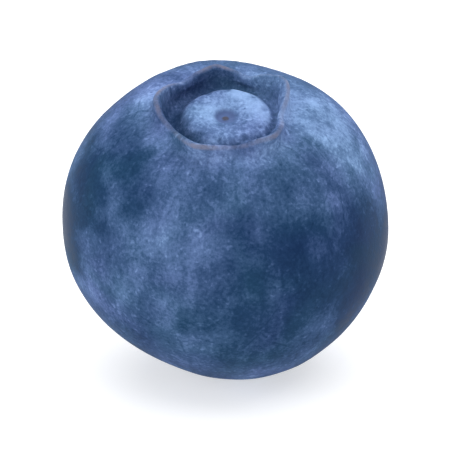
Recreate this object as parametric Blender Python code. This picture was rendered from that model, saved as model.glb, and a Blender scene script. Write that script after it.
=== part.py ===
"""A ripe blueberry, picked, resting on a small flat spot with its calyx crown turned up and to the front.

The fruit is one grown piece: a round berry, a five-lobed crown round a sunken basin with its disc and style scar
on top, and a stem scar below. It is modelled about its own axis, as a cage of rings that a Subdivision Surface
rounds off. The cage leans to the front, and the ground presses a small flat spot into the skin.
"""

import math

import bpy

MM = 0.001
NODE = "blueberry"

# The body, measured from the plane of its widest place
HALF_WIDTH = 7.5 * MM
TOP_HEIGHT = 7.25 * MM
BASE_DEPTH = 7.15 * MM
SHOULDER_POWER = 2.2  # 2 is a plain ellipse, and more makes the shoulder squarer
LOWER_ANGLES = (-72, -62, -51, -39, -26, -13)  # degrees below the widest place, from the stem end
UPPER_ANGLES = (0, 13, 26, 38, 48, 56, 62)  # degrees above it, up to the crown
CAGE_SWELL = 1.010  # the Subdivision Surface draws the cage in by about this share

# What makes the berry a little uneven, as shares of its radius, and the ways in which it is longest and highest
OVAL = 0.010
OVAL_TURN = math.radians(20)
FIVE_SIDED = 0.014
SLANT = 0.022
SLANT_TURN = math.radians(200)

# The side that grew against a neighbour and stayed a little flat: the way it faces, how flat and how narrow it is
FLAT_SIDE = (-0.56, -0.56, -0.61)
FLAT_DEPTH = 0.038
FLAT_NARROWNESS = 7

# The crown: five lobes on a collar
LOBES = 5
COLUMNS_PER_LOBE = 6
COLUMNS = LOBES * COLUMNS_PER_LOBE
CROWN_TURN = math.radians(-44)  # the way the first lobe points, and the front is at -90
LOBE_DRIFT = math.radians(3.5)  # how far the lobes stray from even spacing
CROWN_RADIUS = 3.36 * MM
CROWN_NARROWED = 0.28 * MM  # how much nearer to the axis it stands on the shallow side of the groove
CROWN_CORNERS = 0.12 * MM  # how far its foot reaches further out under each lobe
CROWN_BASE = 6.54 * MM
LOBE_LENGTHS = [length * MM for length in (0.60, 0.54, 0.57, 0.58, 0.62)]
LOBE_FLARES = [math.radians(angle) for angle in (60, 52, 2, 24, 62)]
LOBE_BLUNTNESS = 1.4  # 1 is a straight-sided lobe, and more makes its sides bulge
NOTCH_LENGTH = 0.20 * MM
NOTCH_FLARE = math.radians(4)
WALL_AT_FOOT = 0.64 * MM
WALL_AT_TIP = 0.63 * MM
LIP_ROUND = 0.14 * MM
OUTSIDE_STEPS = (0.0, 0.45, 0.82, 1.0)
INSIDE_STEPS = (1.0, 0.75, 0.38, 0.0)

# The basin inside the crown as (radius, height), from its wall through a groove and over the disc into the style
# scar, which has the stub of the style in its middle. The groove is deep on one side and shallow on the other.
DEEP_GROOVE = (
    (2.72, 6.28),
    (2.58, 5.98),
    (2.32, 5.94),
    (2.04, 6.18),
    (1.86, 6.48),
    (1.62, 6.64),
)
SHALLOW_GROOVE = (
    (2.42, 6.42),
    (2.31, 6.36),
    (2.19, 6.38),
    (2.05, 6.48),
    (1.90, 6.58),
    (1.66, 6.66),
)
DISC = (
    (1.16, 6.64),
    (0.78, 6.60),
    (0.50, 6.55),
    (0.36, 6.40),
    (0.20, 6.35),
    (0.09, 6.42),
)
SHALLOW_TURN = math.radians(10)  # the way in which the groove is shallowest

# The stem scar as (radius, height above the stem end), from its centre out over its lip
STEM_SCAR = [
    (radius * MM, height * MM)
    for radius, height in (
        (0.22, 0.56),
        (0.62, 0.62),
        (0.96, 0.44),
        (1.18, 0.10),
        (1.50, 0.07),
    )
]

# How it rests
LEAN = math.radians(20)
PRESSED = 0.18 * MM
SPOT_ASIDE = (0.28 * MM, 0.30 * MM)  # how far the flat side draws the flat spot to the right and to the back
GROUND_SIZE = 30 * MM

SKIN_COLOUR = (0.055, 0.110, 0.230, 1.0)
SKIN_ROUGHNESS = 0.5


def clear_scene():
    for obj in list(bpy.data.objects):
        bpy.data.objects.remove(obj)


def column_angle(column):
    """The way a column of the cage faces. The drift spaces the lobes a little unevenly."""
    even = CROWN_TURN + column * math.tau / COLUMNS
    return even + LOBE_DRIFT * math.sin(2 * even)


def on_uneven_body(column, radius, height):
    """The point at this radius and height, moved as far as the berry is out of round there."""
    angle = column_angle(column)
    toward_shoulder = max(0.0, height / TOP_HEIGHT) * min(1.0, radius / HALF_WIDTH)
    ribs = FIVE_SIDED * toward_shoulder * math.cos(LOBES * column * math.tau / COLUMNS)
    reach = CAGE_SWELL * radius * (1 + OVAL * math.cos(2 * (angle - OVAL_TURN)) + ribs)
    rise = SLANT * radius * math.cos(angle - SLANT_TURN)
    point = (reach * math.cos(angle), reach * math.sin(angle), CAGE_SWELL * height + rise)
    facing = sum(a * b for a, b in zip(point, FLAT_SIDE)) / math.hypot(*point)
    kept = 1 - FLAT_DEPTH * max(0.0, facing) ** FLAT_NARROWNESS
    return tuple(kept * a for a in point)


def body_section():
    """The body's outline as (radius, height), from beside the stem scar up to the foot of the crown."""
    lower = [
        (HALF_WIDTH * math.cos(math.radians(a)), BASE_DEPTH * math.sin(math.radians(a)))
        for a in LOWER_ANGLES
    ]
    power = 2 / SHOULDER_POWER
    upper = [
        (
            HALF_WIDTH * math.cos(math.radians(a)) ** power,
            TOP_HEIGHT * math.sin(math.radians(a)) ** power,
        )
        for a in UPPER_ANGLES
    ]
    return lower + upper


def shallow_share(column):
    """From 0 where the groove is deepest to 1 where it is shallowest."""
    return (1 + math.cos(column_angle(column) - SHALLOW_TURN)) / 2


def crown_section(column):
    """One column of the crown as (radius, height), up its outside, over the lip and down its inside."""
    lobe, step = divmod(column + COLUMNS_PER_LOBE // 2, COLUMNS_PER_LOBE)
    lobe %= LOBES
    off_tip = abs(step - COLUMNS_PER_LOBE // 2) / (COLUMNS_PER_LOBE // 2)
    lobed = 1 - off_tip**LOBE_BLUNTNESS
    length = NOTCH_LENGTH + (LOBE_LENGTHS[lobe] - NOTCH_LENGTH) * lobed
    flare = NOTCH_FLARE + (LOBE_FLARES[lobe] - NOTCH_FLARE) * lobed
    foot = CROWN_RADIUS + CROWN_CORNERS * math.cos(LOBES * column * math.tau / COLUMNS)
    foot -= CROWN_NARROWED * shallow_share(column)

    def outside(share):
        chord = flare * share / 2
        return (
            foot + length * share * math.sin(chord),
            CROWN_BASE + length * share * math.cos(chord),
        )

    def inside(share):
        radius, height = outside(share)
        wall = WALL_AT_FOOT + (WALL_AT_TIP - WALL_AT_FOOT) * share
        turn = flare * share
        return (radius - wall * math.cos(turn), height + wall * math.sin(turn))

    lip = [
        (a + b) / 2 + LIP_ROUND * along
        for a, b, along in zip(outside(1.0), inside(1.0), (math.sin(flare), math.cos(flare)))
    ]
    return [*map(outside, OUTSIDE_STEPS), lip, *map(inside, INSIDE_STEPS)]


def basin_section(column):
    """One column of the basin as (radius, height)."""
    share = shallow_share(column)
    groove = [
        (deep[0] + (shallow[0] - deep[0]) * share, deep[1] + (shallow[1] - deep[1]) * share)
        for deep, shallow in zip(DEEP_GROOVE, SHALLOW_GROOVE)
    ]
    return [(radius * MM, height * MM) for radius, height in (*groove, *DISC)]


def cage_rings():
    """Every ring of the cage, from the stem scar up to the style scar, as lists of points."""
    stem = [(radius, height - BASE_DEPTH) for radius, height in STEM_SCAR]
    sections = [
        stem + body_section() + crown_section(column) + basin_section(column)
        for column in range(COLUMNS)
    ]
    return [
        [on_uneven_body(column, *point) for column, point in enumerate(ring)]
        for ring in zip(*sections)
    ]


def skin_material():
    material = bpy.data.materials.new("waxy_skin")
    material.use_nodes = True
    shader = material.node_tree.nodes["Principled BSDF"]
    shader.inputs["Base Color"].default_value = SKIN_COLOUR
    shader.inputs["Roughness"].default_value = SKIN_ROUGHNESS
    shader.inputs["Metallic"].default_value = 0.0
    return material


def berry_mesh():
    """The cage as a closed mesh: bands of faces between the rings, and a cap at each end."""
    rings = cage_rings()
    points = [point for ring in rings for point in ring]
    faces = []
    for lower in range(len(rings) - 1):
        for column in range(COLUMNS):
            after = (column + 1) % COLUMNS
            first, second = lower * COLUMNS, (lower + 1) * COLUMNS
            faces.append((first + column, first + after, second + after, second + column))
    faces.append(tuple(reversed(range(COLUMNS))))
    last = (len(rings) - 1) * COLUMNS
    faces.append(tuple(range(last, last + COLUMNS)))
    mesh = bpy.data.meshes.new(NODE)
    mesh.from_pydata(points, [], faces)
    mesh.shade_smooth()
    return mesh


def resting_place():
    """Where the middle of the leaning body stands, so that its flat spot lies round the origin."""
    across = HALF_WIDTH * math.sin(LEAN)
    along = BASE_DEPTH * math.cos(LEAN)
    support = math.hypot(across, along)
    behind = (HALF_WIDTH**2 - BASE_DEPTH**2) * math.sin(LEAN) * math.cos(LEAN) / support
    return (-SPOT_ASIDE[0], behind - SPOT_ASIDE[1], support - PRESSED)


def ground_block():
    """The ground as a block with its top at height 0, which cuts the flat spot."""
    bpy.ops.mesh.primitive_cube_add(size=GROUND_SIZE, location=(0, 0, -GROUND_SIZE / 2))
    block = bpy.context.object
    block.name = "ground_cutter"
    block.hide_render = True
    block.display_type = "WIRE"
    return block


def build_berry():
    berry = bpy.data.objects.new(NODE, berry_mesh())
    bpy.context.scene.collection.objects.link(berry)
    berry.data.materials.append(skin_material())
    berry.rotation_euler = (LEAN, 0, 0)
    berry.location = resting_place()
    rounding = berry.modifiers.new("rounding", "SUBSURF")
    rounding.levels = 1
    rounding.render_levels = 1
    flat_spot = berry.modifiers.new("flat_spot", "BOOLEAN")
    flat_spot.operation = "DIFFERENCE"
    flat_spot.solver = "EXACT"
    flat_spot.object = ground_block()
    return berry


clear_scene()
build_berry()
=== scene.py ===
# %% [markdown]
# # A blueberry, modelled and finished
#
# This lesson dresses a plain solid of a blueberry. The solid already has the right size and the main
# form, so the lesson starts by loading it. Then it models a much finer berry over it: a cage of rings
# is raised ring by ring, the crown's lobes are pulled out of it, a Subdivision Surface rounds it off,
# and small bumps, creases and scars are sculpted into the smooth result. The skin gets its dark blue
# and the dusty wax on top of it from one procedural material, and soft light and a camera end the lesson.

# %% Load the plain berry
import math

import bmesh
import bpy
import numpy as np
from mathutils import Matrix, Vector, noise


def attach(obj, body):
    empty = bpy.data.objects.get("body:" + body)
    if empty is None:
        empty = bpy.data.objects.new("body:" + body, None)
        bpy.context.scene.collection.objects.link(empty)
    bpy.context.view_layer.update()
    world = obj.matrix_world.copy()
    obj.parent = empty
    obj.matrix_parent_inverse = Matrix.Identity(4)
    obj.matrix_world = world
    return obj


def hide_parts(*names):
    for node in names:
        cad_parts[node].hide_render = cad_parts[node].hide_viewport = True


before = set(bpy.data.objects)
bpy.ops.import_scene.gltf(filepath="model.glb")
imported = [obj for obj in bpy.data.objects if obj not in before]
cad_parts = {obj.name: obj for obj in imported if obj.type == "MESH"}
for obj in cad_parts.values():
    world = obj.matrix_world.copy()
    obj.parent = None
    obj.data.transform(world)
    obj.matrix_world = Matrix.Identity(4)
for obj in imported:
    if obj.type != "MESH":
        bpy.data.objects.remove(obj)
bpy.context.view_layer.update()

MM = 0.001

# %% [markdown]
# ## The berry's measures
#
# A blueberry is a slightly flattened ball. A ring of short lobes, the dried remains of the flower, stands
# on its top round a shallow basin with a flat disc in it, and a small pit marks where the stem was. The
# disc isn't quite in the middle of the crown: the groove round it is wide and deep on one side, and narrow
# and shallow on the other.
#
# All lengths are measured along and away from the axis through the crown, from the plane where the berry is
# widest. They are the plain berry's own measures, so the two fit each other. Only the lobes end thinner
# here: their dry edges are about 0.3 mm thick.

# %% Write down the measures
HALF_WIDTH = 7.5 * MM
TOP_HEIGHT = 7.25 * MM
BASE_DEPTH = 7.15 * MM
SHOULDER_POWER = 2.2  # 2 is a plain ellipse, and more makes the shoulder squarer
LOWER_ANGLES = (-72, -62, -51, -39, -26, -13)  # degrees below the widest place, from the stem end
UPPER_ANGLES = (0, 13, 26, 38, 48, 56, 62)  # degrees above it, up to the crown
CAGE_SWELL = 1.011  # the Subdivision Surface draws the cage in by about this share

LOBES = 5
COLUMNS_PER_LOBE = 6
COLUMNS = LOBES * COLUMNS_PER_LOBE
CROWN_TURN = math.radians(-44)  # the way the first lobe points, and the front is at -90
LOBE_DRIFT = math.radians(3.5)  # how far the lobes stray from even spacing
CROWN_RADIUS = 3.36 * MM
CROWN_NARROWED = 0.28 * MM  # how much nearer to the axis it stands on the shallow side of the groove
CROWN_CORNERS = 0.12 * MM  # how far its foot reaches further out under each lobe
CROWN_BASE = 6.54 * MM
LOBE_LENGTHS = [length * MM for length in (0.60, 0.54, 0.57, 0.58, 0.62)]
LOBE_FLARES = [math.radians(angle) for angle in (60, 52, 2, 24, 62)]
LOBE_BLUNTNESS = 1.4  # 1 is a straight-sided lobe, and more makes its sides bulge
NOTCH_LENGTH = 0.20 * MM
NOTCH_FLARE = math.radians(4)
WALL_AT_FOOT = 0.64 * MM
WALL_AT_TIP = 0.63 * MM
DRY_EDGE = 0.30 * MM
LIP_ROUND = 0.07 * MM

# Distance from the axis and height, in mm. The stem scar's heights start at the stem end.
STEM_SCAR = ((0.22, 0.56), (0.62, 0.62), (0.96, 0.44), (1.18, 0.10), (1.50, 0.07))
DEEP_GROOVE = ((2.72, 6.28), (2.58, 5.98), (2.32, 5.94), (2.04, 6.18), (1.86, 6.48), (1.62, 6.64))
SHALLOW_GROOVE = ((2.42, 6.42), (2.31, 6.36), (2.19, 6.38), (2.05, 6.48), (1.90, 6.58), (1.66, 6.66))
DISC = ((1.16, 6.64), (0.78, 6.60), (0.50, 6.55), (0.36, 6.40), (0.20, 6.35), (0.09, 6.42))
SHALLOW_TURN = math.radians(10)  # the way in which the groove is shallowest
print("The berry is", 2 * HALF_WIDTH / MM, "mm wide, with", LOBES, "lobes")

# %% [markdown]
# ## One outline for every way out from the axis
#
# Cut the berry from its stem to its crown and the cut is an outline of points, each with a distance from
# the axis and a height. The body's part of it is the same all round. The crown's part depends on the way:
# it is low at a notch between two lobes, and long and leaning outwards at a lobe's tip. The groove's part
# lies between the deep and the shallow one. Three functions give these points, so that the rings raised
# next can ask for them.

# %% The outline of the body, the basin and the crown
def body_outline():
    """The points from beside the stem scar up to the foot of the crown."""
    lower = [
        (HALF_WIDTH * math.cos(math.radians(a)), BASE_DEPTH * math.sin(math.radians(a)))
        for a in LOWER_ANGLES
    ]
    power = 2 / SHOULDER_POWER
    upper = [
        (
            HALF_WIDTH * math.cos(math.radians(a)) ** power,
            TOP_HEIGHT * math.sin(math.radians(a)) ** power,
        )
        for a in UPPER_ANGLES
    ]
    return lower + upper


def shallow_share(column):
    """From 0 where the groove is deepest to 1 where it is shallowest."""
    way = CROWN_TURN + column * math.tau / COLUMNS
    return (1 + math.cos(way + LOBE_DRIFT * math.sin(2 * way) - SHALLOW_TURN)) / 2


def basin_outline(column):
    """The points from the foot of the crown's inside, through the groove and over the disc to its middle."""
    share = shallow_share(column)
    groove = [
        (deep[0] + (shallow[0] - deep[0]) * share, deep[1] + (shallow[1] - deep[1]) * share)
        for deep, shallow in zip(DEEP_GROOVE, SHALLOW_GROOVE)
    ]
    return [(radius * MM, height * MM) for radius, height in (*groove, *DISC)]


def crown_outline(column):
    """The points up the outside of the crown, over its lip and down its inside."""
    lobe, step = divmod(column + COLUMNS_PER_LOBE // 2, COLUMNS_PER_LOBE)
    lobe %= LOBES
    off_tip = abs(step - COLUMNS_PER_LOBE // 2) / (COLUMNS_PER_LOBE // 2)
    lobed = 1 - off_tip**LOBE_BLUNTNESS
    length = NOTCH_LENGTH + (LOBE_LENGTHS[lobe] - NOTCH_LENGTH) * lobed
    flare = NOTCH_FLARE + (LOBE_FLARES[lobe] - NOTCH_FLARE) * lobed
    foot = CROWN_RADIUS + CROWN_CORNERS * math.cos(LOBES * column * math.tau / COLUMNS)
    foot -= CROWN_NARROWED * shallow_share(column)

    def in_wall(share, depth):
        """The point at this share of the way up the wall, this deep under its plain outside."""
        turn = flare * share
        return (
            foot + length * share * math.sin(turn / 2) - depth * math.cos(turn),
            CROWN_BASE + length * share * math.cos(turn / 2) + depth * math.sin(turn),
        )

    def outside(share):
        return in_wall(share, (WALL_AT_TIP - DRY_EDGE) * share)

    def inside(share):
        return in_wall(share, WALL_AT_FOOT + (WALL_AT_TIP - WALL_AT_FOOT) * share)

    lip = [
        (a + b) / 2 + LIP_ROUND * along
        for a, b, along in zip(outside(1.0), inside(1.0), (math.sin(flare), math.cos(flare)))
    ]
    return [*map(outside, (0.0, 0.45, 0.82, 1.0)), lip, *map(inside, (1.0, 0.75, 0.38, 0.0))]


stem_part = [(radius * MM, height * MM - BASE_DEPTH) for radius, height in STEM_SCAR]
NOTCH = COLUMNS_PER_LOBE // 2
notch_outline = stem_part + body_outline() + crown_outline(NOTCH) + basin_outline(NOTCH)
CROWN_FOOT = len(stem_part) + len(body_outline())
CROWN_LIP = CROWN_FOOT + len(crown_outline(NOTCH)) // 2
CROWN_END = CROWN_FOOT + len(crown_outline(NOTCH))
GROOVE_END = CROWN_END + len(DEEP_GROOVE)
print("Rings in the cage:", len(notch_outline), "of which the crown has", CROWN_END - CROWN_FOOT)

# %% [markdown]
# ## Raise the rings
#
# The cage could be a sphere pushed into shape, but a sphere's rows don't follow a crown and a basin. A
# circle that is extruded ring by ring can: each new ring gets its own radius and height, so the edges run
# where the form turns. Every point also keeps a number, `along`, that says which ring it is on. The
# Subdivision Surface blends that number as it blends the shape, so later steps can find the crown's lip
# or the basin by it.

# %% Raise the cage from the stem scar to the style scar
def raise_ring(radius, height, before):
    """Extrudes the selected ring of edges into a new ring of this radius at this height."""
    bpy.ops.mesh.extrude_edges_move(TRANSFORM_OT_translate={"value": (0, 0, height - before[1])})
    wider = radius / before[0]
    bpy.ops.transform.resize(value=(wider, wider, 1), center_override=(0, 0, height))


def number_ring(mesh, number):
    """Writes the ring's number on its points, which are the ones selected."""
    points = bmesh.from_edit_mesh(mesh)
    along = points.verts.layers.float["along"]
    for point in points.verts:
        if point.select:
            point[along] = number
    bmesh.update_edit_mesh(mesh)


bpy.ops.object.select_all(action="DESELECT")
start = notch_outline[0]
bpy.ops.mesh.primitive_circle_add(
    vertices=COLUMNS,
    radius=start[0],
    location=(0, 0, start[1]),
    rotation=(0, 0, CROWN_TURN - math.radians(90)),
)
berry = bpy.context.object
berry.name = "berry"
bpy.ops.object.transform_apply(location=True, rotation=True, scale=True)
berry.data.attributes.new("along", "FLOAT", "POINT")

bpy.ops.object.mode_set(mode="EDIT")
bpy.ops.mesh.select_mode(type="EDGE")
bpy.ops.mesh.select_all(action="SELECT")
bpy.ops.mesh.edge_face_add()
for number in range(1, len(notch_outline)):
    raise_ring(*notch_outline[number], notch_outline[number - 1])
    number_ring(berry.data, number)
bpy.ops.mesh.edge_face_add()
bpy.ops.mesh.select_all(action="SELECT")
bpy.ops.mesh.normals_make_consistent(inside=False)
bpy.ops.object.mode_set(mode="OBJECT")
print("The cage has", len(berry.data.vertices), "points and", len(berry.data.polygons), "faces")

# %% [markdown]
# ## Pull the lobes
#
# So far the crown is a plain low collar, with every way out from the axis shaped as a notch. Each lobe
# could be a piece of its own, but its foot would have to be stitched to the collar. Pulling it out of the
# collar keeps the skin whole: its points are taken one by one, and each is moved to where the outline of
# its own column has it, further up and further out, the more so the nearer it is to the lobe's tip. The
# groove's points are pulled in the same way, up on its shallow side and down on its deep one.

# %% Pull the lobes and the groove
def column_of(point):
    """Which of the cage's columns a point stands on."""
    turned = math.atan2(point.co.y, point.co.x) - CROWN_TURN
    return round(turned / (math.tau / COLUMNS)) % COLUMNS


def pull_point(mesh, index, target):
    """Selects one point of the cage and moves it to its target."""
    points = bmesh.from_edit_mesh(mesh).verts
    points.ensure_lookup_table()
    points[index].select_set(True)
    bpy.ops.transform.translate(value=target - points[index].co)
    bpy.ops.mesh.select_all(action="DESELECT")


ring_numbers = [round(item.value) for item in berry.data.attributes["along"].data]
crown_points = [
    (point.index, ring_numbers[point.index] - CROWN_FOOT, column_of(point))
    for point in berry.data.vertices
    if CROWN_FOOT <= ring_numbers[point.index] < GROOVE_END
]
bpy.ops.object.mode_set(mode="EDIT")
bpy.ops.mesh.select_mode(type="VERT")
bpy.ops.mesh.select_all(action="DESELECT")
for index, ring, column in crown_points:
    radius, height = (crown_outline(column) + basin_outline(column))[ring]
    way = CROWN_TURN + column * math.tau / COLUMNS
    target = Vector((radius * math.cos(way), radius * math.sin(way), height))
    pull_point(berry.data, index, target)
bpy.ops.object.mode_set(mode="OBJECT")
print("Pulled", len(crown_points), "points into", LOBES, "lobes and the groove")

# %% [markdown]
# ## Round it off
#
# The skin has no edges but the crown's, so the whole cage is rounded alike. The Subdivision Surface cuts
# each of its faces into 64 and rounds them. It is applied, because the next steps move single points of the
# fine mesh.

# %% Subdivide the cage
rounding = berry.modifiers.new("rounding", "SUBSURF")
rounding.levels = 3
rounding.render_levels = 3
bpy.ops.object.modifier_apply(modifier="rounding")
bpy.ops.object.shade_smooth()
print("The fine berry has", len(berry.data.vertices), "points and", len(berry.data.polygons), "faces")

# %% [markdown]
# ## Where each point is on the berry
#
# Sculpting in code needs to know what is being touched. The ring number says how far along the outline a
# point is. Ramps on it give a share from 0 to 1 for each feature: how near to the crown's lip, how deep
# inside it, on the disc, in a scar. The way out from the axis says how near it is to a lobe's tip.

# %% Read the points and find the features
points = np.empty(len(berry.data.vertices) * 3)
berry.data.vertices.foreach_get("co", points)
points = points.reshape(-1, 3)
along = np.empty(len(berry.data.vertices))
berry.data.attributes["along"].data.foreach_get("value", along)
radius = np.hypot(points[:, 0], points[:, 1])
way = np.arctan2(points[:, 1], points[:, 0])
height = points[:, 2].copy()


def ramp(start, *stops):
    """A share that changes in straight steps between pairs of (ring number, share)."""
    pairs = (start, *stops)
    return np.interp(along, [pair[0] for pair in pairs], [pair[1] for pair in pairs])


# Every pair below is a ring and a share: CROWN_FOOT - 4.5 is four and a half rings below the crown's foot
STYLE_RING = len(notch_outline) - 1
stem_middle = ramp((0.2, 1), (0.9, 0))
in_stem_scar = ramp((1.6, 1), (3.0, 0))
round_stem_scar = ramp((2.0, 0), (3.4, 1), (4.6, 1), (6.5, 0))
on_body = ramp((4.0, 0), (6.0, 1), (CROWN_FOOT - 1.5, 1), (CROWN_FOOT - 0.3, 0))
by_crown = ramp((CROWN_FOOT - 4.5, 0), (CROWN_FOOT - 0.6, 1), (CROWN_FOOT + 0.4, 1), (CROWN_LIP - 1, 0))
up_crown = ramp((CROWN_FOOT, 0), (CROWN_LIP - 1, 1), (CROWN_LIP + 1, 1), (CROWN_END - 1, 0))
at_lip = ramp((CROWN_LIP - 1.3, 0), (CROWN_LIP - 0.4, 1), (CROWN_LIP + 0.4, 1), (CROWN_LIP + 1.3, 0))
inside = ramp((CROWN_LIP - 0.2, 0), (CROWN_LIP + 0.8, 1), (CROWN_END + 3.0, 1), (CROWN_END + 4.2, 0))
in_groove = ramp((CROWN_LIP + 2, 0), (CROWN_END, 1), (CROWN_END + 2, 1), (CROWN_END + 3.6, 0))
on_disc = ramp((CROWN_END + 2.6, 0), (CROWN_END + 4, 1))
on_rim = ramp((CROWN_END + 2.0, 0), (CROWN_END + 3.6, 1), (CROWN_END + 5.2, 1), (CROWN_END + 6.6, 0))
in_style_scar = ramp((STYLE_RING - 3.4, 0), (STYLE_RING - 2.1, 1))
on_stub = ramp((STYLE_RING - 0.9, 0), (STYLE_RING - 0.2, 1))
to_tip = 0.5 + 0.5 * np.cos(LOBES * (way - CROWN_TURN))
print("Points on the crown:", int((up_crown > 0).sum()), "and on the disc:", int((on_disc > 0).sum()))

# %% [markdown]
# ## Sculpt the berry
#
# A berry's skin has soft swells and dents a few millimetres wide, and fine puckers where it gathers round
# the crown. The lobes curl unevenly and end in a ragged dry edge. On the disc, a ring of tiny pits marks
# where the stamens stood, with faint creases between them, and the scar in its middle holds the stub of the
# style. The pit below is rough, with fibres torn when the stem came off.
#
# All this could be carved by hand with sculpting brushes, but then it couldn't be made again or changed by
# a number. Here every point is moved in code by sums of smooth noise: it looks random, but it is the same on
# every run. Each height is in millimetres, times the share of the feature it belongs to.

# %% Smooth noise at every point
def lumps(places, size, seed):
    """Smooth noise from -1 to 1 at each place, with lumps of about this size."""
    shift = Vector((seed * 7.13, seed * 3.71, seed * 5.39))
    return np.array([noise.noise(Vector(place) / size + shift) for place in places])


swells = lumps(points, 4.5 * MM, 1)
dents = lumps(points, 1.8 * MM, 2)
pebbles = lumps(points, 0.45 * MM, 3)
print("Soft swells reach from", round(swells.min(), 2), "to", round(swells.max(), 2))

# %% Sculpt the body and the puckers round the crown
SWELL_HEIGHT = 0.100 * MM
DENT_HEIGHT = 0.026 * MM
PEBBLE_HEIGHT = 0.004 * MM
CROWN_PUCKER_HEIGHT = 0.045 * MM
STEM_PUCKER_HEIGHT = 0.020 * MM
outward = SWELL_HEIGHT * swells * on_body + DENT_HEIGHT * dents * on_body + PEBBLE_HEIGHT * pebbles
# Close together round the axis and long along the outline, so that the noise comes out as folds
pucker_ways = np.stack([8 * np.cos(way), 8 * np.sin(way), along * 0.12], axis=1)
puckers = lumps(pucker_ways, 1.0, 4) + 0.6 * lumps(pucker_ways * 2.1, 1.0, 5)
outward += CROWN_PUCKER_HEIGHT * puckers * by_crown
outward += STEM_PUCKER_HEIGHT * lumps(pucker_ways * 0.9, 1.0, 6) * round_stem_scar
steepness = np.clip(height / TOP_HEIGHT, -1, 1)
level = np.sqrt(1 - steepness**2)
safe_radius = np.maximum(radius, 1e-6)
ways_out = np.stack([points[:, 0] / safe_radius * level, points[:, 1] / safe_radius * level, steepness], 1)
points += outward[:, None] * ways_out
print("The body moves by up to", round(float(np.abs(outward).max()) / MM, 3), "mm")

# %% Sculpt the crown: uneven curl, ribs and a ragged edge
CURL = 0.08 * MM
RIB_HEIGHT = 0.016 * MM
RAGGEDNESS = 0.060 * MM
RIBS_PER_LOBE = 3
around = np.stack([3.2 * np.cos(way), 3.2 * np.sin(way), np.zeros_like(way)], axis=1)
curl = lumps(around, 1.1, 7)
ragged = lumps(around * 3.0, 1.0, 8) + 0.5 * lumps(around * 7.0, 1.0, 9)
ribs = np.cos(RIBS_PER_LOBE * LOBES * (way - CROWN_TURN)) + 0.8 * lumps(around * 5.0, 1.0, 10)
crown_out = CURL * curl * up_crown**2 + RIB_HEIGHT * ribs * up_crown
dry_at_lip = at_lip * (0.35 + 0.65 * to_tip)  # driest at the tips, and a third of that in the notches
crown_up = RAGGEDNESS * ragged * dry_at_lip
points[:, 0] += crown_out * np.cos(way)
points[:, 1] += crown_out * np.sin(way)
points[:, 2] += crown_up
print("The lip rises and falls by", round(float(np.ptp(crown_up)) / MM, 3), "mm")

# %% Press the stamen pits into the disc
STAMENS = 2 * LOBES
STAMEN_RING = 1.80 * MM
PIT_SIZE = 0.15 * MM
PIT_DEPTH = 0.080 * MM
pits = np.zeros_like(way)
for stamen in range(STAMENS):
    unevenly = 0.12 * math.sin(2.3 * stamen)
    turn = CROWN_TURN + (stamen + 0.5 + unevenly) * math.tau / STAMENS
    apart = np.hypot(
        points[:, 0] - STAMEN_RING * math.cos(turn), points[:, 1] - STAMEN_RING * math.sin(turn)
    )
    pits += np.exp(-((apart / PIT_SIZE) ** 2)) * on_disc
print("Stamen pits on the disc:", STAMENS)

# %% Sculpt the disc and the two scars
DISC_HEIGHT = 0.055 * MM
DISC_GRAIN_HEIGHT = 0.018 * MM
CREASE_HEIGHT = 0.022 * MM
SCAR_HEIGHT = 0.030 * MM
FIBRE_HEIGHT = 0.040 * MM
STEM_MIDDLE_DEPTH = 0.14 * MM
RIM_WAVE = 0.070 * MM
disc_rise = DISC_HEIGHT * lumps(points, 1.1 * MM, 11) + DISC_GRAIN_HEIGHT * lumps(points, 0.3 * MM, 12)
creases = CREASE_HEIGHT * lumps(around * 1.7, 1.0, 16) * on_disc * (1 - in_style_scar)
scar_rise = SCAR_HEIGHT * lumps(points, 0.22 * MM, 13)
fibres = FIBRE_HEIGHT * lumps(around * 2.2, 1.0, 19) * in_stem_scar * (1 - stem_middle)
points[:, 2] += disc_rise * on_disc + creases - PIT_DEPTH * pits
# The stem scar faces down, so a rise in height goes deeper into the berry there
points[:, 2] += scar_rise * (in_style_scar + 1.6 * in_stem_scar) + fibres + STEM_MIDDLE_DEPTH * stem_middle
rim_out = RIM_WAVE * lumps(around * 0.7, 1.0, 17) * on_rim
scar_out = 0.10 * radius * lumps(around * 0.5, 1.0, 18) * in_style_scar
points[:, 0] += (rim_out + scar_out) * np.cos(way)
points[:, 1] += (rim_out + scar_out) * np.sin(way)
print("The disc rises and falls by", round(float(np.ptp(disc_rise[on_disc > 0])) / MM, 3), "mm")

# %% [markdown]
# ## Take it out of round
#
# No berry is turned on a lathe. This one is a little oval, has five very faint sides that run down from its
# lobes, its crown sits a little askew, and one side stayed a little flat, where it grew against a neighbour.
# A lattice could bend the berry like this too, but the plain berry has these from formulas, and only the
# same formulas make the two agree everywhere.

# %% Make it oval, five-sided, askew and flat on one side
OVAL = 0.010
OVAL_TURN = math.radians(20)  # the way in which it is longest
FIVE_SIDED = 0.014
SLANT = 0.022
SLANT_TURN = math.radians(200)  # the way in which it is highest
FLAT_SIDE = (-0.56, -0.56, -0.61)  # the way the flat side faces
FLAT_DEPTH = 0.038
FLAT_NARROWNESS = 7
radius = np.hypot(points[:, 0], points[:, 1])
way = np.arctan2(points[:, 1], points[:, 0])
toward_shoulder = np.maximum(0, points[:, 2] / TOP_HEIGHT) * np.minimum(1, radius / HALF_WIDTH)
sides = FIVE_SIDED * toward_shoulder * np.cos(LOBES * (way - CROWN_TURN))
drifted = way + LOBE_DRIFT * np.sin(2 * way)
reach = CAGE_SWELL * radius * (1 + OVAL * np.cos(2 * (drifted - OVAL_TURN)) + sides)
rise = SLANT * radius * np.cos(drifted - SLANT_TURN)
points = np.stack([reach * np.cos(drifted), reach * np.sin(drifted), CAGE_SWELL * points[:, 2] + rise], 1)
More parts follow.
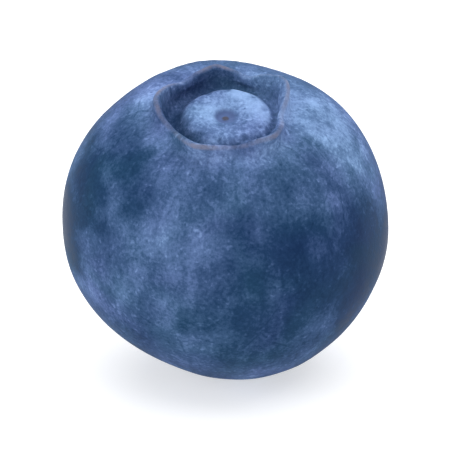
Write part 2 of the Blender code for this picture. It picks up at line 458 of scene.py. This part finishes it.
toward_flat = points @ np.array(FLAT_SIDE) / np.linalg.norm(points, axis=1)
points *= (1 - FLAT_DEPTH * np.maximum(0, toward_flat) ** FLAT_NARROWNESS)[:, None]
print("Widest across:", round(float(2 * reach.max()) / MM, 2), "mm")

# %% [markdown]
# ## Lean it over and set it down
#
# The berry lies with its crown turned up and to the front, and its soft skin flattens where it touches the
# ground. Its flat side draws that spot a little to the right and to the back, so the berry is moved as far
# the other way, and the spot lies round the origin. A Boolean would cut the spot, but leave a sharp rim.
# So each height near the ground is eased instead: the square root below follows the height where it is
# large, and levels out to almost nothing where the berry would sink in.

# %% Lean, set down and press flat
LEAN = math.radians(20)
PRESSED = 0.18 * MM
SPOT_ASIDE = (0.28 * MM, 0.30 * MM)  # how far the flat side draws the flat spot to the right and to the back
SOFT_RIM = 0.035 * MM
EASED_BELOW = 1.5 * MM  # far above the spot, so the parts that are eased and left alone meet unseen
across = HALF_WIDTH * math.sin(LEAN)
down = BASE_DEPTH * math.cos(LEAN)
support = math.hypot(across, down)
behind = (HALF_WIDTH**2 - BASE_DEPTH**2) * math.sin(LEAN) * math.cos(LEAN) / support
leaned = np.stack(
    [
        points[:, 0] - SPOT_ASIDE[0],
        points[:, 1] * math.cos(LEAN) - points[:, 2] * math.sin(LEAN) + behind - SPOT_ASIDE[1],
        points[:, 1] * math.sin(LEAN) + points[:, 2] * math.cos(LEAN) + support - PRESSED,
    ],
    axis=1,
)
eased = (leaned[:, 2] + np.sqrt(leaned[:, 2] ** 2 + SOFT_RIM**2)) / 2
leaned[:, 2] = np.where(leaned[:, 2] < EASED_BELOW, eased, leaned[:, 2])
leaned[:, 2] -= leaned[:, 2].min()
berry.data.vertices.foreach_set("co", leaned.ravel())
berry.data.update()
flat_points = leaned[:, 2] < 0.01 * MM
print("The flat spot is", round(float(np.ptp(leaned[flat_points, 0])) / MM, 2), "mm wide")

# %% [markdown]
# ## Rubbed wax and painted shade, thick wax and painted light
#
# Berries lie against each other and against hands, and each touch wipes some of the wax off. A touch
# leaves a soft-edged spot a few millimetres wide. Elsewhere, mostly round the crown, the wax is as thick
# as it grew. Some spots also paint light and shade: the dark spots at the left and right edges and low on
# the right are partly painted shade, where neighbouring berries would shade the skin, and the pale spots on
# the right shoulder are partly painted light. The spots could be painted on by hand, or left to noise alone,
# which would put them anywhere. Here each is one line in a list, by the way it faces from the berry's
# middle, with its size and its strength, and noise only makes its outline uneven.

# %% Place the rubbed and shaded spots, and the thick and lit ones
# Degrees right of the front, degrees up, size in mm, strength
# Rubbed spots: the ones at the left and right edges and low on the right are partly painted shade of
# neighbouring berries
RUBBED_AND_SHADED = (
    (32, 4, 4.0, 0.85), (18, -22, 3.4, 0.8), (62, -3, 3.4, 1.2), (76, -4, 2.6, 1.2), (4, -8, 2.2, 1.0),
    (44, 43, 0.9, 1.1), (25, 32, 1.4, 0.6), (-8, 32, 1.0, 0.35), (-65, 28, 2.5, 1.4), (-82, 8, 2.6, 1.6),
    (-38, -36, 2.2, 0.5), (118, 16, 3.2, 0.7), (150, -16, 3.8, 0.7), (-142, 24, 3.3, 0.7),
    (-112, -34, 3.0, 0.5), (174, 46, 2.6, 0.4), (70, -48, 3.0, 0.8), (-61, 44, 1.4, 0.9), (-40, 28, 1.4, 0.7),
    (9, 50, 0.5, 0.5), (46, 17, 1.0, 0.6), (-35, -15, 1.2, 0.5), (43, 53, 0.7, 0.4),
)
# Thick spots: the ones on the right shoulder are partly painted light
THICK_AND_LIT = (
    (-12, 14, 2.2, 1.3), (-14, -14, 1.8, 0.6), (70, 43, 3.0, 2.1), (62, 62, 2.6, 1.6), (-80, 68, 1.5, 1.3),
    (-9, 48, 1.1, 1.4), (14, 47, 1.0, 0.9), (7, 34, 1.0, 0.9), (-20, 40, 2.0, 0.5), (-20, -44, 2.0, 0.5),
    (130, 44, 2.8, 0.7), (-168, 4, 3.0, 0.7), (-100, -6, 2.0, 0.5), (44, -62, 3.0, 0.5), (-12, 71, 1.1, 1.1),
    (80, 20, 1.8, 1.0), (82, 33, 1.3, 2.4), (-58, -10, 1.5, 0.9), (-38, 49, 0.9, 0.8),
    (34, 11, 0.8, 0.9), (78, 56, 1.0, 2.4),
)
SPOT_REACH = 1.3  # where a spot ends, as a multiple of its size
middle = np.array([-SPOT_ASIDE[0], behind - SPOT_ASIDE[1], support - PRESSED])
facing = leaned - middle
facing /= np.linalg.norm(facing, axis=1)[:, None]
wobble = 0.70 * lumps(leaned, 2.4 * MM, 14) + 0.30 * lumps(leaned, 0.9 * MM, 15)


def spots_share(spots):
    """How much each point is in the strongest of these spots."""
    share = np.zeros(len(leaned))
    for right, up, size, strength in spots:
        right, up = math.radians(right), math.radians(up)
        spot = (math.sin(right) * math.cos(up), -math.cos(right) * math.cos(up), math.sin(up))
        apart = np.arccos(np.clip(facing @ np.array(spot), -1, 1)) * HALF_WIDTH / (size * MM)
        inner = np.clip(SPOT_REACH - apart + wobble, 0, 1)
        smooth = inner * inner * (3 - 2 * inner)
        share = np.maximum(share, strength * smooth)
    return share


rubbed_and_shaded = spots_share(RUBBED_AND_SHADED)
thick_and_lit = spots_share(THICK_AND_LIT)
print("Rubbed:", round(float(rubbed_and_shaded.mean()), 2), "of the skin, thick:", round(float(thick_and_lit.mean()), 2))

# %% Keep the features as attributes for the skin
features = {
    # Paler round the crown, and darker in the notches between the lobes, which is painted shade in the
    # notches
    "by_crown": by_crown * (0.3 + 0.7 * to_tip),
    "at_lip": dry_at_lip,
    "inside": inside,
    "in_groove": in_groove,
    "on_disc": on_disc,
    "in_style_scar": in_style_scar,
    "on_stub": on_stub,
    "in_stem_scar": in_stem_scar,
    "stem_middle": stem_middle,
    "pits": np.clip(pits, 0, 1),
    # The rubbed spots carry painted shade as well as thin wax, and the thick ones painted light as well as
    # thick wax
    "rubbed_and_shaded": rubbed_and_shaded,
    "thick_and_lit": thick_and_lit,
}
for name, share in features.items():
    berry.data.attributes.new(name, "FLOAT", "POINT").data.foreach_set("value", share)

# Streaks run from the crown to the stem, and fade into even mottles on the disc, where they would meet.
# At the texture's scale of 3, they are about 0.7 mm wide and 2 mm long where the berry is widest.
STREAKS_FADE_BELOW = 3.2 * MM
STREAK_SPREAD = 3.6
STREAK_LENGTH = 6.0 * MM
spread = STREAK_SPREAD * np.minimum(1, radius / STREAKS_FADE_BELOW)
down_the_skin = np.stack(
    [spread * np.cos(way), spread * np.sin(way), points[:, 2] / STREAK_LENGTH], axis=1
)
berry.data.attributes.new("down_the_skin", "FLOAT_VECTOR", "POINT").data.foreach_set(
    "vector", down_the_skin.ravel()
)
print("Features kept:", ", ".join(features))

# %% [markdown]
# ## The skin
#
# The material is waxy fruit skin. A ripe blueberry's skin is almost black-blue, and smooth as a grape's.
# What the eye sees as dusty blue is the bloom, a thin layer of tiny wax crystals that scatters light. Where
# it is thin it only turns the black into a deep, clear blue with a dull gloss, and where it is thick it is a
# pale grey-blue without any.
#
# A painted picture of the skin could show one berry well, but it would blur close by and need seams. So the
# material first works out how thick the wax is, from patterns and the spots placed above, with painted light
# and shade added into that sum, and then a row of colours turns it into the skin's colour.
#
# Colours come from hex values as on a screen. Blender works with linear light, so one function turns them.

# %% Colours and nodes
def colour(hex_value):
    """Turns a screen colour such as 6E8CC0 into the linear colour that Blender mixes."""
    screen = [int(hex_value[i : i + 2], 16) / 255 for i in (0, 2, 4)]
    linear = [c / 12.92 if c <= 0.04045 else ((c + 0.055) / 1.055) ** 2.4 for c in screen]
    return (*linear, 1.0)


def add_node(tree, kind, inputs=None, **settings):
    """Adds a node with its settings, and sets or links each of its inputs."""
    node = tree.nodes.new(kind)
    for name, value in settings.items():
        setattr(node, name, value)
    for socket, value in (inputs or {}).items():
        if isinstance(value, bpy.types.NodeSocket):
            tree.links.new(value, node.inputs[socket])
        else:
            node.inputs[socket].default_value = value
    return node


print("Wax, as linear light:", [round(part, 3) for part in colour("6E8CC0")])

# %% [markdown]
# ## Patterns in the wax
#
# The wax lies in clouds a few millimetres wide and mottles of about a millimetre. Its grains are smaller than
# a tenth of a millimetre on the real skin, and are drawn 0.17 mm wide here, so that they show. Rain and touch
# leave streaks from crown to stem, pale flecks and thin scratches, and each pore is a dark dot in the wax.
#
# Every pattern reads the place of a point in the berry, so nothing stretches, and a texture's scale is one
# over the width of its lumps in metres. Only the streaks read the attribute that follows the skin.

# %% Start the skin's material with clouds, mottles and grain
bloomed_skin = bpy.data.materials.new("bloomed_blueberry_skin")
bloomed_skin.use_nodes = True
tree = bloomed_skin.node_tree
tree.nodes.clear()
place = add_node(tree, "ShaderNodeTexCoord").outputs["Object"]
clouds = add_node(
    tree, "ShaderNodeTexNoise",
    {"Vector": place, "Scale": 1 / (4.0 * MM), "Detail": 2.0, "Roughness": 0.5, "Distortion": 0.3},
).outputs["Fac"]
mottles = add_node(
    tree, "ShaderNodeTexNoise",
    {"Vector": place, "Scale": 1 / (1.1 * MM), "Detail": 4.0, "Roughness": 0.6, "Distortion": 0.5},
).outputs["Fac"]
grain = add_node(
    tree, "ShaderNodeTexNoise",
    {"Vector": place, "Scale": 1 / (0.17 * MM), "Detail": 3.0, "Roughness": 0.7},
).outputs["Fac"]
hues = add_node(
    tree, "ShaderNodeTexNoise", {"Vector": place, "Scale": 1 / (3.1 * MM), "Detail": 1.0, "Distortion": 0.6}
).outputs["Color"]
print("Clouds are 4 mm wide, mottles 1.1 mm and grains 0.17 mm")

# %% Streaks from crown to stem, pores and flecks
down_skin = add_node(tree, "ShaderNodeAttribute", attribute_name="down_the_skin").outputs["Vector"]
streaks = add_node(
    tree, "ShaderNodeTexNoise",
    {"Vector": down_skin, "Scale": 3.0, "Detail": 4.0, "Roughness": 0.6, "Distortion": 0.5},
).outputs["Fac"]
pore_places = add_node(
    tree, "ShaderNodeTexVoronoi", {"Vector": place, "Scale": 1 / (0.9 * MM), "Randomness": 1.0}
).outputs["Distance"]
# A pore reaches from a twenty-fifth to a tenth of the way to the next one
pore = add_node(
    tree, "ShaderNodeMapRange",
    {"Value": pore_places, "From Min": 0.04, "From Max": 0.10, "To Min": 1.0, "To Max": 0.0},
    interpolation_type="SMOOTHSTEP",
).outputs["Result"]
fleck_places = add_node(
    tree, "ShaderNodeTexNoise",
    {"Vector": place, "Scale": 1 / (0.26 * MM), "Detail": 1.0, "Roughness": 0.5},
).outputs["Fac"]
fleck = add_node(
    tree, "ShaderNodeMapRange",
    {"Value": fleck_places, "From Min": 0.60, "From Max": 0.74, "To Min": 0.0, "To Max": 1.0},
    interpolation_type="SMOOTHSTEP",
).outputs["Result"]
print("Pores are 0.9 mm apart, and flecks 0.26 mm wide")

# %% Thin scratches: the borders between bent cells, seen only where the mottles are light
bent_place = add_node(
    tree, "ShaderNodeVectorMath",
    {0: hues, 1: (1.2 * MM, 1.2 * MM, 1.2 * MM), 2: place},
    operation="MULTIPLY_ADD",
).outputs["Vector"]
edge_places = add_node(
    tree, "ShaderNodeTexVoronoi",
    {"Vector": bent_place, "Scale": 1 / (2.3 * MM), "Randomness": 1.0},
    feature="DISTANCE_TO_EDGE",
).outputs["Distance"]
thin_lines = add_node(
    tree, "ShaderNodeMapRange",
    {"Value": edge_places, "From Min": 0.008, "From Max": 0.028, "To Min": 1.0, "To Max": 0.0},
    interpolation_type="SMOOTHSTEP",
).outputs["Result"]
broken = add_node(
    tree, "ShaderNodeMapRange",
    {"Value": mottles, "From Min": 0.50, "From Max": 0.60, "To Min": 0.0, "To Max": 1.0},
).outputs["Result"]
scratch = add_node(
    tree, "ShaderNodeMath", {0: thin_lines, 1: broken}, operation="MULTIPLY"
).outputs["Value"]
print("Scratches run 2.3 mm apart")

# %% Fetch the features that the mesh carries
feature = {
    name: add_node(tree, "ShaderNodeAttribute", attribute_name=name).outputs["Fac"] for name in features
}
print("Patterns and features in the skin:", len(tree.nodes), "nodes")

# %% [markdown]
# ## From the wax's thickness, with painted light and shade, to the skin's colour
#
# Each pattern and feature adds to the wax or takes from it, by its weight. Some of them also paint light and
# shade into the sum: some rubbed spots, the crown's hollow and the notches between its lobes take from it
# partly as painted shade, and some thick spots and the disc add to it partly as painted light. The sum is 0
# on bare skin and 1 where the wax is thick. Two colours mixed evenly would look like paint, because the
# first thin wax pales the skin less than what comes on top of it, so a row of six colours is used. It
# reaches a little past 1, so that the thickest wax keeps its grain. Last, soft patches turn the hue slightly
# towards violet or towards green, as on any fruit: a hue of 0.5 leaves the colour as it is.

# %% Add up how thick the wax is, with painted light and shade
wax_and_painted_light = -0.645  # with this start, the patterns alone come to about 0.5
for share, weight in (
    (clouds, 0.66),
    (mottles, 0.48),
    (streaks, 0.44),
    (grain, 0.72),
    (fleck, 0.16),
    (scratch, -0.12),
    (pore, -0.16),
    # Rubbed spots take wax off and partly paint shade, thick spots add wax and partly paint light
    (feature["rubbed_and_shaded"], -0.36),
    (feature["thick_and_lit"], 0.20),
    # Paler round the crown, darker in the notches between lobes as painted shade
    (feature["by_crown"], 0.12),
    (feature["at_lip"], 0.06),
    # Darker inside the crown and in its groove: partly thin wax, partly painted shade in the hollow
    (feature["inside"], -0.05),
    (feature["in_groove"], -0.12),
    # Paler on the disc: partly its wax, partly painted light where it faces up
    (feature["on_disc"], 0.24),
    (feature["pits"], -0.22),
    (feature["in_style_scar"], -0.20),
    (feature["in_stem_scar"], -0.60),
):
    wax_and_painted_light = add_node(
        tree, "ShaderNodeMath", {0: share, 1: weight, 2: wax_and_painted_light}, operation="MULTIPLY_ADD"
    ).outputs["Value"]
print("The wax map takes", len(tree.nodes), "nodes so far")

# %% Turn the wax's thickness, with its painted light and shade, into colour
BARE_TO_THICK = (
    (0.0, "15304D"), (0.25, "1F3B5A"), (0.5, "385274"), (0.75, "546D94"), (1.0, "7691BB"), (1.25, "89A5CF"),
)
THICKEST = BARE_TO_THICK[-1][0]
# The thickness here also holds painted light and shade, so the row of colours paints them into the skin
share_of_thickest = add_node(
    tree, "ShaderNodeMath", {0: wax_and_painted_light, 1: 1 / THICKEST}, operation="MULTIPLY"
).outputs["Value"]
by_thickness = add_node(tree, "ShaderNodeValToRGB", {"Fac": share_of_thickest})
stops = by_thickness.color_ramp.elements
stops[0].color = colour(BARE_TO_THICK[0][1])
stops[1].color = colour(BARE_TO_THICK[-1][1])
for thickness, hex_value in BARE_TO_THICK[1:-1]:
    stops.new(thickness / THICKEST).color = colour(hex_value)
shifted_hue = add_node(
    tree, "ShaderNodeMapRange",
    {"Value": hues, "From Min": 0.35, "From Max": 0.65, "To Min": 0.494, "To Max": 0.511},
).outputs["Result"]
skin = add_node(
    tree, "ShaderNodeHueSaturation",
    {"Hue": shifted_hue, "Color": by_thickness.outputs["Color"]},
).outputs["Color"]
print("Colours from bare skin to thick wax:", len(stops))

# %% [markdown]
# ## Dry edges and scars
#
# The lobes' edges have dried to a brownish grey, like thin paper, and so has the stub of the style. The scar
# round the stub is bare and a little paler than the skin. The stem scar below is cork: pale fibres in dark
# brown, and almost black in the middle. These colours could be materials of their own, with a hard border
# each. Mixed into the one skin by the shares that the mesh carries, they blend into it as grown tissue does.

# %% Colour the dry edges and the scars
# A Mix node has other sockets for each kind of data, and these are the ones for colours
FACTOR, COLOUR_A, COLOUR_B = 0, 6, 7
MIXED = 2
dry = add_node(
    tree, "ShaderNodeMapRange",
    {"Value": mottles, "From Min": 0.35, "From Max": 0.60, "To Min": 0.1, "To Max": 0.7},
).outputs["Result"]
dry_edge = add_node(
    tree, "ShaderNodeMath", {0: feature["at_lip"], 1: dry}, operation="MULTIPLY"
).outputs["Value"]
edged = add_node(
    tree, "ShaderNodeMix",
    {FACTOR: dry_edge, COLOUR_A: skin, COLOUR_B: colour("716C78")},
    data_type="RGBA",
).outputs[MIXED]
scarred = add_node(
    tree, "ShaderNodeMix",
    {FACTOR: feature["in_style_scar"], COLOUR_A: edged, COLOUR_B: colour("50628A")},
    data_type="RGBA",
).outputs[MIXED]
stubbed = add_node(
    tree, "ShaderNodeMix",
    {FACTOR: feature["on_stub"], COLOUR_A: scarred, COLOUR_B: colour("4A4B58")},
    data_type="RGBA",
).outputs[MIXED]
torn = add_node(tree, "ShaderNodeMath", {0: streaks, 1: grain}, operation="ADD").outputs["Value"]
fibrous = add_node(
    tree, "ShaderNodeMapRange", {"Value": torn, "From Min": 0.80, "From Max": 1.20}
).outputs["Result"]
corky = add_node(
    tree, "ShaderNodeMix",
    {FACTOR: fibrous, COLOUR_A: colour("30261F"), COLOUR_B: colour("9A835F")},
    data_type="RGBA",
).outputs[MIXED]
hollowed = add_node(
    tree, "ShaderNodeMix",
    {FACTOR: feature["stem_middle"], COLOUR_A: corky, COLOUR_B: colour("1E1613")},
    data_type="RGBA",
).outputs[MIXED]
finished = add_node(
    tree, "ShaderNodeMix",
    {FACTOR: feature["in_stem_scar"], COLOUR_A: stubbed, COLOUR_B: hollowed},
    data_type="RGBA",
).outputs[MIXED]
print("Colours mixed:", len(tree.nodes), "nodes")

# %% [markdown]
# ## Gloss and grain
#
# Bare skin has a dull gloss, and wax has hardly any, because its crystals throw the light everywhere. So the
# roughness rises with the wax, and the reflection is kept weak. Fruit skin bends light about as much as
# water with some sugar in it, and wax a little more, which makes an IOR of 1.45. The mottles, pores and
# grains are a few hundredths of a millimetre high, too low for the mesh, and so they are bumps.

# %% Gloss, grain and the finished skin
roughness = add_node(
    tree, "ShaderNodeMapRange",
    {"Value": wax_and_painted_light, "From Min": 0.0, "From Max": 0.7, "To Min": 0.38, "To Max": 0.70},
).outputs["Result"]
dull_scar = add_node(
    tree, "ShaderNodeMath", {0: feature["in_stem_scar"], 1: 0.4, 2: roughness}, operation="MULTIPLY_ADD"
).outputs["Value"]
coarse = add_node(
    tree, "ShaderNodeBump", {"Strength": 0.25, "Distance": 0.05 * MM, "Height": mottles}
).outputs["Normal"]
pored = add_node(
    tree, "ShaderNodeBump",
    {"Strength": 0.3, "Distance": 0.03 * MM, "Height": pore, "Normal": coarse},
    invert=True,
).outputs["Normal"]
fine = add_node(
    tree, "ShaderNodeBump",
    {"Strength": 0.35, "Distance": 0.02 * MM, "Height": grain, "Normal": pored},
).outputs["Normal"]
surface = add_node(
    tree, "ShaderNodeBsdfPrincipled",
    {
        "Base Color": finished,
        "Roughness": dull_scar,
        "Metallic": 0.0,
        "IOR": 1.45,
        "Specular IOR Level": 0.03,
        "Normal": fine,
    },
).outputs["BSDF"]
add_node(tree, "ShaderNodeOutputMaterial", {"Surface": surface})
berry.data.materials.clear()
berry.data.materials.append(bloomed_skin)
print("The skin has", len(tree.nodes), "nodes")

# %% [markdown]
# ## In the plain berry's place
#
# The fine berry stands where the plain one stands, so it needs no moving. The plain one is hidden, and the
# fine one goes wherever the plain one's body goes.

# %% Put the fine berry in the plain one's place
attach(berry, "root")
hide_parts("blueberry")
print("The fine berry takes the plain one's place")

# %% [markdown]
# ## The ground
#
# The berry lies on bright white ground, and its shadow is hardly there. Paper would take a shadow several
# times as dark. So the ground is the opal acrylic of a light table: matt, a little grey by itself, and white
# by the light that comes up through it, which also fills the shadow.

# %% The ground
bpy.ops.object.select_all(action="DESELECT")
bpy.ops.mesh.primitive_plane_add(size=3.0, location=(0, 0, 0))
ground = bpy.context.object
ground.name = "ground"
opal_acrylic = bpy.data.materials.new("opal_acrylic")
opal_acrylic.use_nodes = True
opal = opal_acrylic.node_tree.nodes["Principled BSDF"]
opal.inputs["Base Color"].default_value = colour("CDCDCC")
opal.inputs["Roughness"].default_value = 0.9
opal.inputs["Specular IOR Level"].default_value = 0.1
opal.inputs["Emission Color"].default_value = colour("FFFFFF")
opal.inputs["Emission Strength"].default_value = 0.55
ground.data.materials.append(opal_acrylic)
print("The ground is", ground.dimensions.x, "m wide")

# %% [markdown]
# ## The lights
#
# A wide lamp overhead and a little behind gives the pale rim round the crown, a second one from the left
# shapes the front, and a pale sky fills the rest. One small lamp would be simpler, but its highlight and
# hard shadow would hide the bloom.

# %% The lights
def add_lamp(name, place, aim, size, watts, hex_value):
    """Adds a square soft lamp at a place, turned to its aim."""
    bpy.ops.object.light_add(type="AREA", location=place)
    lamp = bpy.context.object
    lamp.name = name
    lamp.rotation_euler = (Vector(aim) - Vector(place)).to_track_quat("-Z", "Y").to_euler()
    lamp.data.size = size
    lamp.data.energy = watts
    lamp.data.color = colour(hex_value)[:3]


BERRY_MIDDLE = (0, 0, 0.007)
add_lamp("overhead", (0.04, 0.08, 0.30), BERRY_MIDDLE, 0.60, 1.8, "FFFFFF")
add_lamp("left_front", (-0.30, -0.16, 0.16), BERRY_MIDDLE, 0.20, 0.35, "FFFFFF")
world = bpy.data.worlds.new("pale_room")
world.use_nodes = True
world.node_tree.nodes["Background"].inputs["Color"].default_value = colour("F4F7FF")
world.node_tree.nodes["Background"].inputs["Strength"].default_value = 0.70
bpy.context.scene.world = world
bpy.context.scene.view_settings.view_transform = "Standard"

# %% [markdown]
# ## The camera
#
# It looks down by 22 degrees, from so far away that the berry hardly shows any perspective, as in a picture
# of small things taken with a long lens.

# %% The camera
SENSOR_WIDTH = 36  # mm
VIEW_WIDTH = 0.0208  # how wide the picture is at the berry, in metres
aim = Vector((-0.0003, -0.0004, 0.0071))
away = 0.24
raised = math.radians(22)
bpy.ops.object.camera_add(location=aim + Vector((0, -away * math.cos(raised), away * math.sin(raised))))
camera = bpy.context.object
camera.name = "camera"
camera.rotation_euler = (aim - camera.location).to_track_quat("-Z", "Y").to_euler()
camera.data.sensor_width = SENSOR_WIDTH
camera.data.lens = SENSOR_WIDTH * away / VIEW_WIDTH
bpy.context.scene.camera = camera
print("The camera looks down by", round(math.degrees(raised)), "degrees, lens", round(camera.data.lens), "mm")
